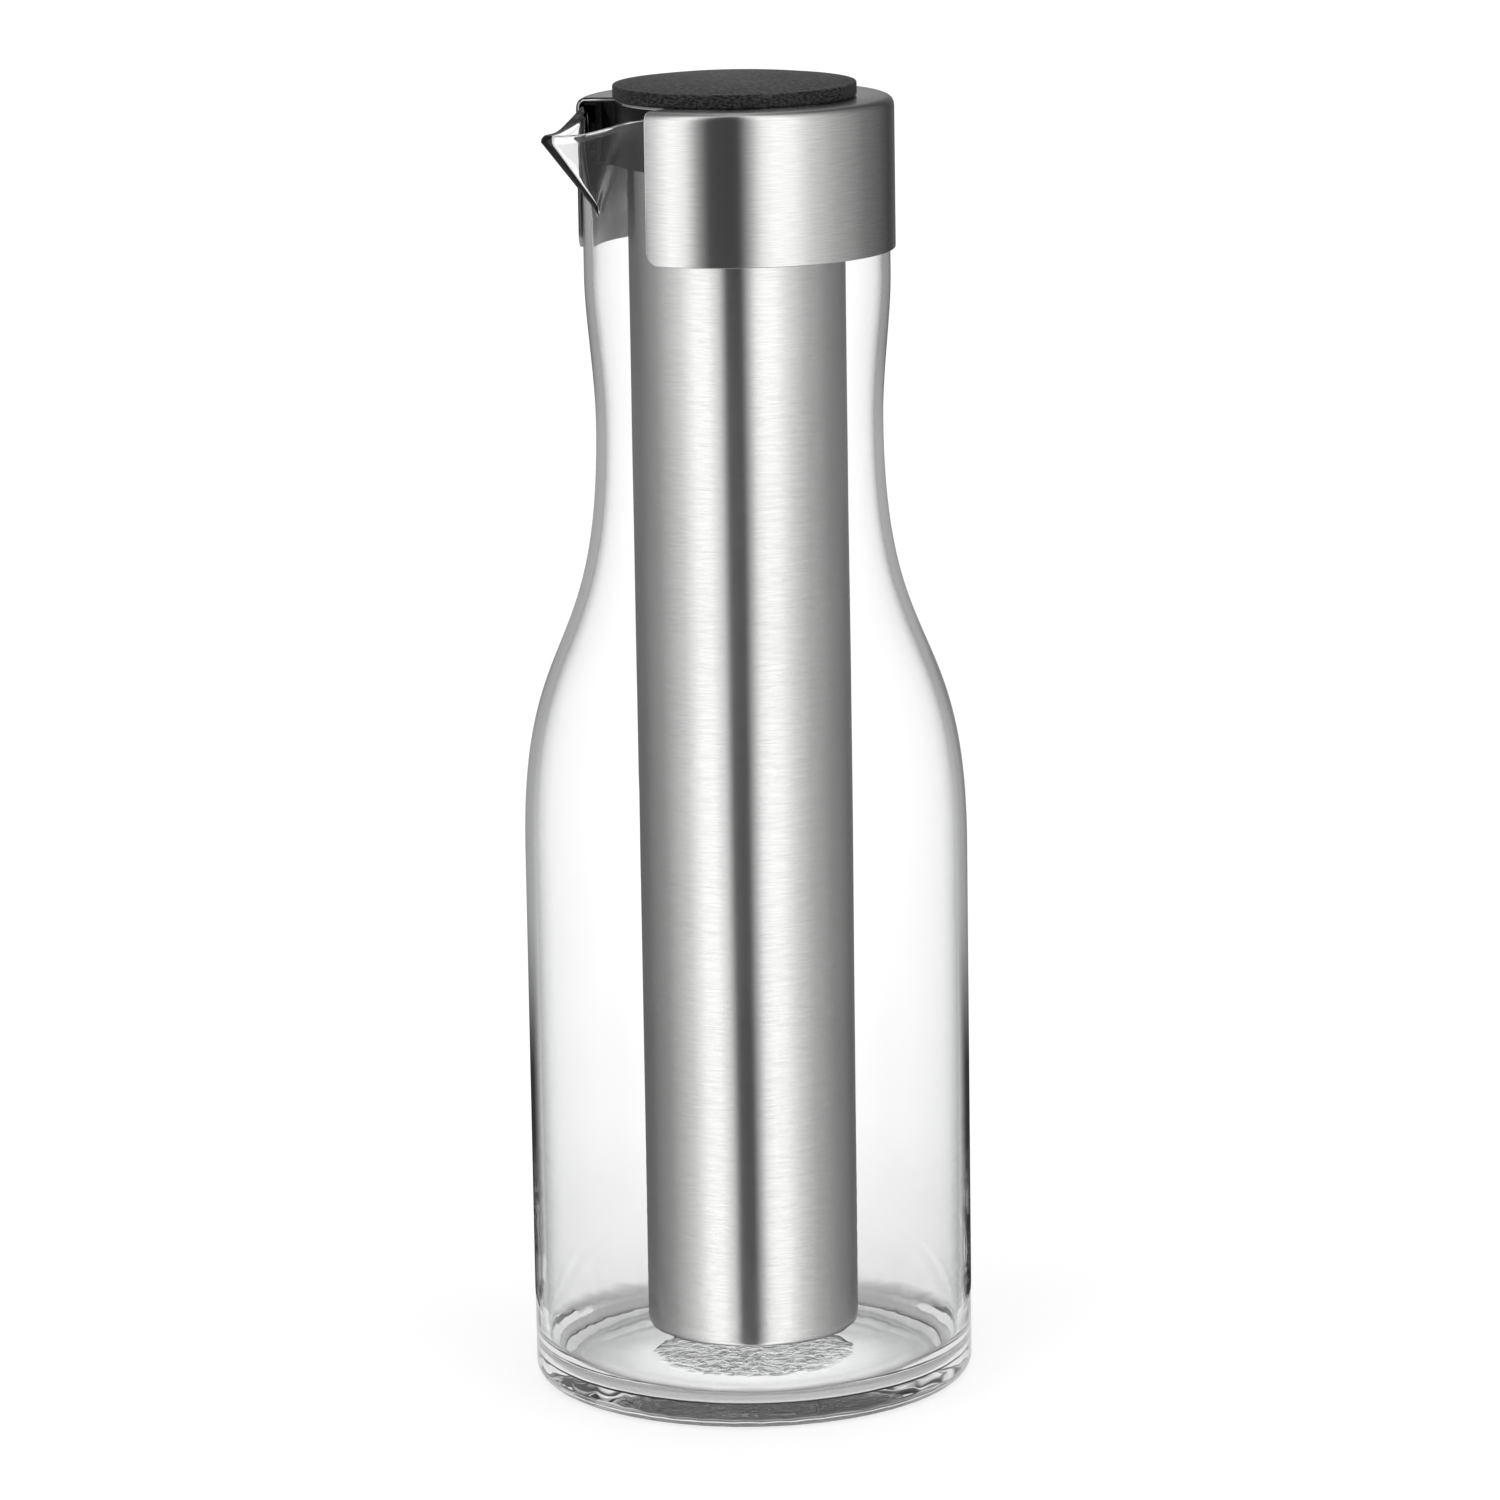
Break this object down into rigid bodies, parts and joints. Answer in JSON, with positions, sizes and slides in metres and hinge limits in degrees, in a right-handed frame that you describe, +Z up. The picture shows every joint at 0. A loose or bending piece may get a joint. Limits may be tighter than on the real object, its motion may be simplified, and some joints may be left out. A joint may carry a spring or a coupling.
{
  "type": "water carafe with ice core",
  "caption": "Clear glass carafe with a waisted neck and pinched pouring lip, closed by a brushed steel collar that hangs a lidded steel ice tube in the water",
  "frame": {"origin": "centre of the base, on the surface that the carafe stands on", "axes": "+Z up along the carafe's axis, -X the way it pours, +Y to complete a right-handed frame"},
  "size_m": [0.1, 0.1, 0.2972],
  "materials": {
    "clear_glass": "clear blown glass, fire polished rim",
    "brushed_steel_tube": "fine brushing round the tube",
    "brushed_steel_collar": "fine brushing round the band and the flat top",
    "black_lid": "soft matt black with a fine grain",
    "black_insert": "moulded matt black",
    "black_silicone": "soft satin black silicone"
  },
  "bodies": {
    "carafe": {"glass_body": "clear_glass", "glass_neck": "clear_glass"},
    "ice_core": {"ice_tube": "brushed_steel_tube", "tube_base": "brushed_steel_tube", "collar": "brushed_steel_collar", "neck_insert": "black_insert", "neck_seal": "black_silicone"},
    "lid": {"lid_cap": "black_lid", "lid_stopper": "black_insert", "lid_seal": "black_silicone"}
  },
  "joints": [
    {"name": "core_lift", "type": "slide", "parent": "carafe", "child": "ice_core", "axis": [0, 0, 1], "range_m": [0, 0.285]},
    {"name": "lid_lift", "type": "slide", "parent": "ice_core", "child": "lid", "axis": [0, 0, 1], "range_m": [0, 0.06]}
  ]
}
